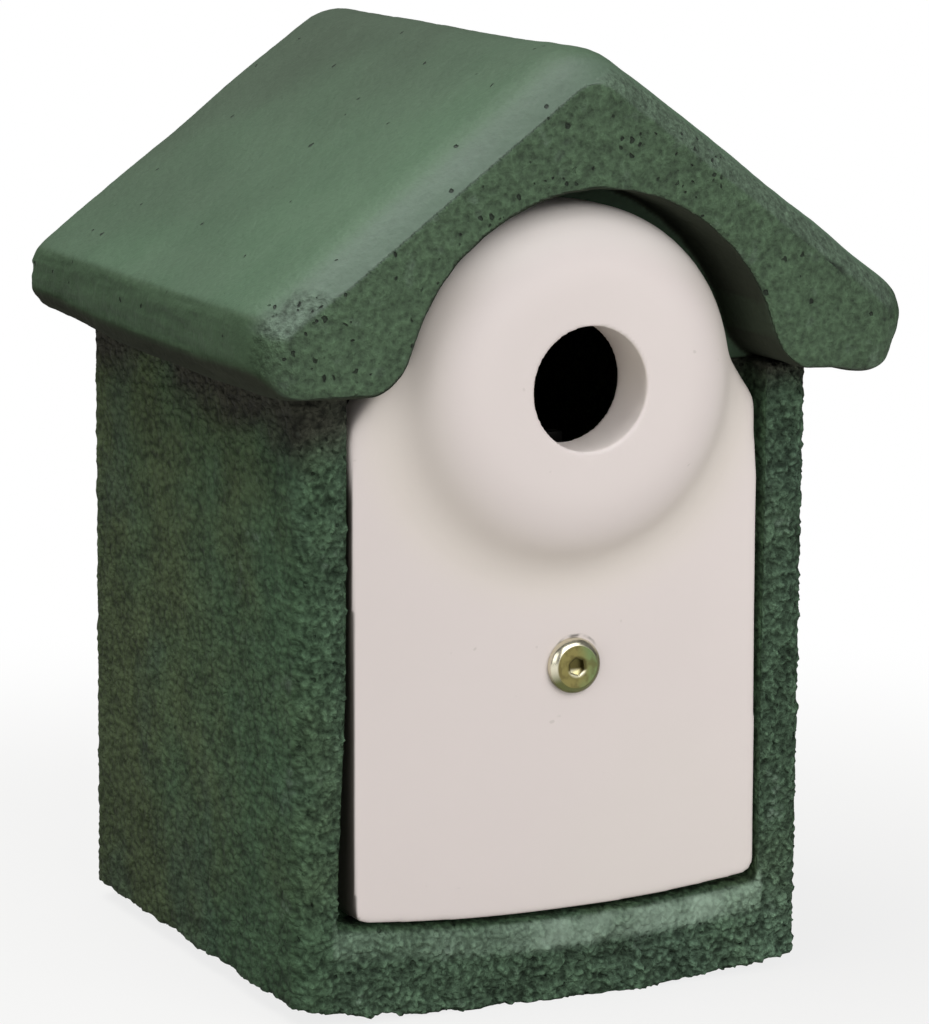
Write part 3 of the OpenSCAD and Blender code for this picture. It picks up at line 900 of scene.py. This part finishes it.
# %% Lock bolt
HEAD_H, SHANK_R = 3 * MM, 3 * MM
SOCKET_AF, SOCKET_TURN = 4 * MM, 0.35
THREAD_PITCH, THREAD_DEPTH, THREAD_STEP = 1.0 * MM, 0.45 * MM, 0.12 * MM

bolt_low, bolt_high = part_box("lock_bolt")
head_r = (bolt_high.x - bolt_low.x) / 2
top = bolt_low.y
seat = top + HEAD_H
socket = hexagon(SOCKET_AF, SOCKET_TURN)
thread_from = LIP_FRONT + 3 * MM
rings = [(0.4 * MM, top + 2.1 * MM), (socket, top + 2 * MM), (socket, top + 0.35 * MM),
         (socket + 0.3 * MM, top + 0.05 * MM), (socket + 0.5 * MM, top), (head_r - 1.75 * MM, top),
         (head_r - 1.5 * MM, top + 0.06 * MM), (head_r - 0.35 * MM, top + 1.0 * MM),
         (head_r - 0.08 * MM, top + 1.35 * MM), (head_r, top + 1.7 * MM), (head_r, seat - 0.25 * MM),
         (head_r - 0.25 * MM, seat), (SHANK_R, seat), (SHANK_R, thread_from)]
rings += [(threaded(SHANK_R, at, THREAD_PITCH, THREAD_DEPTH), at)
          for at in np.arange(thread_from + THREAD_STEP, bolt_high.y - 0.5 * MM, THREAD_STEP)]
rings += [(SHANK_R - 0.7 * MM, bolt_high.y), (0.3 * MM, bolt_high.y)]
bolt = ringed("lock_bolt_turned", rings, False)

# %% [markdown]
# Behind the panel sit the bar that hooks behind the frame, a washer and a nut. The nut's corners are
# cut back by a cone, as a lathe leaves them, and the bar is a sawn flat with its edges taken off.

# %% Turn bar, washer and nut
NUT_AF, NUT_FACE_R, NUT_BEVEL = 10 * MM, 4.75 * MM, 0.9 * MM
CONE_R = [5.0 * MM + 0.12 * MM, 5.0 * MM + 0.55 * MM]
BAR_EDGE = 0.6 * MM
BAR_CREASE = math.radians(40)

nut_low, nut_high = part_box("lock_nut")
flats = hexagon(NUT_AF)
cones = [np.minimum(flats, r) for r in CONE_R]
nut = ringed("lock_nut_turned", [
    (SHANK_R, nut_low.y + 0.3 * MM), (SHANK_R + 0.35 * MM, nut_low.y), (NUT_FACE_R, nut_low.y),
    (cones[0], nut_low.y + 0.15 * MM), (cones[1], nut_low.y + NUT_BEVEL * 0.7),
    (flats, nut_low.y + NUT_BEVEL), (flats, nut_high.y - NUT_BEVEL),
    (cones[1], nut_high.y - NUT_BEVEL * 0.7), (cones[0], nut_high.y - 0.15 * MM),
    (NUT_FACE_R, nut_high.y), (SHANK_R + 0.35 * MM, nut_high.y), (SHANK_R, nut_high.y - 0.3 * MM)], True)

washer_low, washer_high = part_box("bar_washer")
washer_r = (washer_high.x - washer_low.x) / 2
washer = ringed("bar_washer_pressed", [
    (SHANK_R, washer_low.y + 0.1 * MM), (SHANK_R + 0.1 * MM, washer_low.y),
    (washer_r - 0.3 * MM, washer_low.y), (washer_r, washer_low.y + 0.3 * MM),
    (washer_r, washer_high.y - 0.15 * MM), (washer_r - 0.15 * MM, washer_high.y),
    (SHANK_R + 0.1 * MM, washer_high.y), (SHANK_R, washer_high.y - 0.1 * MM)], True)

bar = placed("turn_bar_sawn", nodes["turn_bar"].data.copy())
bar.data.materials.clear()
bevel = {"width": BAR_EDGE, "segments": 3, "limit_method": "ANGLE", "angle_limit": 1.0}
for kind, settings in (("WELD", {"merge_threshold": 0.01 * MM}), ("BEVEL", bevel)):
    change = bar.modifiers.new(kind.lower(), kind)
    for key, value in settings.items():
        setattr(change, key, value)
applied(bar)
bar.data.set_sharp_from_angle(angle=BAR_CREASE)
print(bar.name, len(bar.data.polygons), "faces")

# %% [markdown]
# Yellow zinc plate is a thin coloured film on bright zinc: it drifts from gold to green, and it is dull
# where a tool has touched it. The head's bevel gets a painted highlight above and painted shade below, and
# the socket gets painted shade in its upper part and a painted glint at its foot.

# %% Yellow zinc of the bolt
GOLD, GREEN_GOLD, WORN_BROWN = (0.27, 0.235, 0.085), (0.2, 0.27, 0.115), (0.13, 0.105, 0.04)
BEVEL_SHADE, BEVEL_HIGHLIGHT = (0.13, 0.14, 0.055), (0.74, 0.7, 0.54)
SOCKET_SHADE, SOCKET_GLINT = (0.07, 0.058, 0.02), (0.9, 0.85, 0.62)

plated = Paint(bpy.data.materials.new("yellow_zinc"))
drift, worn = plated.noise(5 * MM, 2), plated.noise(1.3 * MM, 3).between(0.45, 0.65)
across, height_up = plated.along("X"), plated.along("Z")
radius = plated.from_axis(BOLT.x, BOLT.z)
# The bevel: a painted highlight on its upper left and painted shade below.
bevel_zone = radius.between(head_r - 1.9 * MM, head_r - 1.4 * MM)
bevel_lit_side = (height_up - 0.5 * across - (BOLT.z - 0.5 * BOLT.x)).between(-2 * MM, 3.5 * MM)
# The socket: painted shade in its upper part and a painted glint at its foot.
socket_zone = 1 - radius.between(2.3 * MM, 3.2 * MM)
glint = 1 - height_up.between(BOLT.z - 1.8 * MM, BOLT.z - 0.6 * MM)
colour = plated.coats(plated.mix((drift + across * 60 - 0.24).between(0.35, 0.75), GOLD, GREEN_GOLD),
                      (worn * 0.6, WORN_BROWN), (bevel_zone, plated.mix(bevel_lit_side, BEVEL_SHADE, BEVEL_HIGHLIGHT)),
                      (socket_zone * 0.8, plated.mix(glint, SOCKET_SHADE, SOCKET_GLINT)))
scratch = plated.noise(0.5 * MM, 2, plated.stretched(1, 1, 6))
plated.finished(bolt, plated.skin(base_color=colour, metallic=1.0,
                                  roughness=0.26 + 0.2 * drift - 0.14 * bevel_zone,
                                  normal=plated.bump(scratch, 0.02 * MM, 0.4)))

# %% [markdown]
# The parts behind the panel are plain zinc with a fine grain and a soft spangle. The bar's ends are
# painted nearly black as painted shade, as they sit in the dark inside the box.

# %% Zinc behind the panel
ZINC, ZINC_PALE, ZINC_SHADE_DARK = (0.26, 0.26, 0.255), (0.36, 0.36, 0.345), (0.03, 0.03, 0.027)

zinc = Paint(bpy.data.materials.new("zinc_steel"))
grain = zinc.noise(0.6 * MM, 2, zinc.stretched(0.15, 1, 1))
# Painted shade on the bar's ends, which sit in the dark inside the box.
bar_end_shade = zinc.from_axis(BOLT.x, BOLT.z).between(36 * MM, 50 * MM)
colour = zinc.coats(zinc.mix(zinc.noise(4 * MM, 2), ZINC, ZINC_PALE), (bar_end_shade * 0.9, ZINC_SHADE_DARK))
zinc.finished(nut, zinc.skin(base_color=colour, metallic=1.0, roughness=0.34 + 0.2 * grain,
                             normal=zinc.bump(grain, 0.02 * MM, 0.4)))
for piece in (washer, bar):
    piece.data.materials.append(zinc.owner)
for piece, node, slot in ((bolt, "lock_bolt", "yellow_zinc"), (nut, "lock_nut", "zinc_steel"),
                          (washer, "bar_washer", "zinc_steel"), (bar, "turn_bar", "zinc_steel")):
    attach(piece, "lock")
    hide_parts(node)

# %% [markdown]
# Last comes the measure: the dressed box against the solids, side by side, so that any growth shows.

# %% Sizes and end
dressed_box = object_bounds()
for name, (low, high) in (("solids", cad_box), ("dressed", dressed_box)):
    print(name, [round((b - a) * 1000, 1) for a, b in zip(low, high)])
